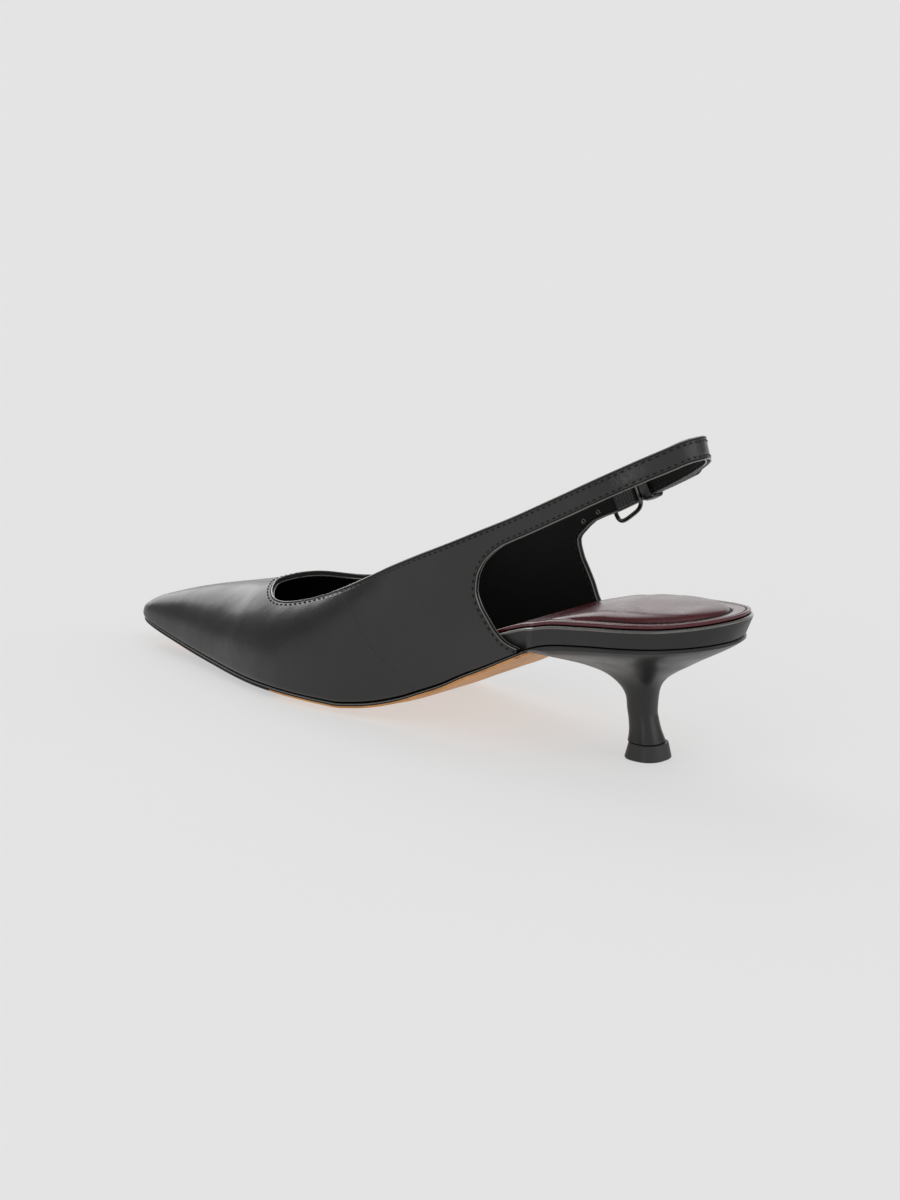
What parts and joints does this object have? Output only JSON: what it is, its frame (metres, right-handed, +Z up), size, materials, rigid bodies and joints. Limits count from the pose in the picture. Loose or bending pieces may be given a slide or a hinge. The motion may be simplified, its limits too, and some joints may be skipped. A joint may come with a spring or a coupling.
{
  "type": "slingback pump",
  "caption": "Pointed-toe leather slingback pump with low-cut throat, open sides, padded heel seat, buckled heel strap and slim kitten heel, for the right foot.",
  "frame": {"origin": "middle of the top lift's lower face, on the floor", "axes": "+Z up, +Y towards the back of the heel, toe towards -Y, +X towards the inner side of the foot"},
  "size_m": [0.0756, 0.2712, 0.1149],
  "materials": {
    "upper_leather": "smooth black leather, semi-gloss",
    "outsole_leather": "tan sole leather, burnished",
    "board_leather": "smooth black leather, semi-gloss",
    "sock_leather": "burgundy leather, glossy",
    "heel_leather": "black leather over a moulded heel, satin",
    "lift_rubber": "matt black",
    "elastic": "ruched black elastic",
    "buckle_steel": "polished",
    "keeper_leather": "smooth black leather"
  },
  "bodies": {
    "root": {"upper": "upper_leather", "outsole": "outsole_leather", "insole_board": "board_leather", "insole": "sock_leather", "heel": "heel_leather", "top_lift": "lift_rubber", "strap_elastic": "elastic", "buckle_frame": "buckle_steel", "buckle_prong": "buckle_steel", "strap_keeper": "keeper_leather"}
  },
  "joints": []
}
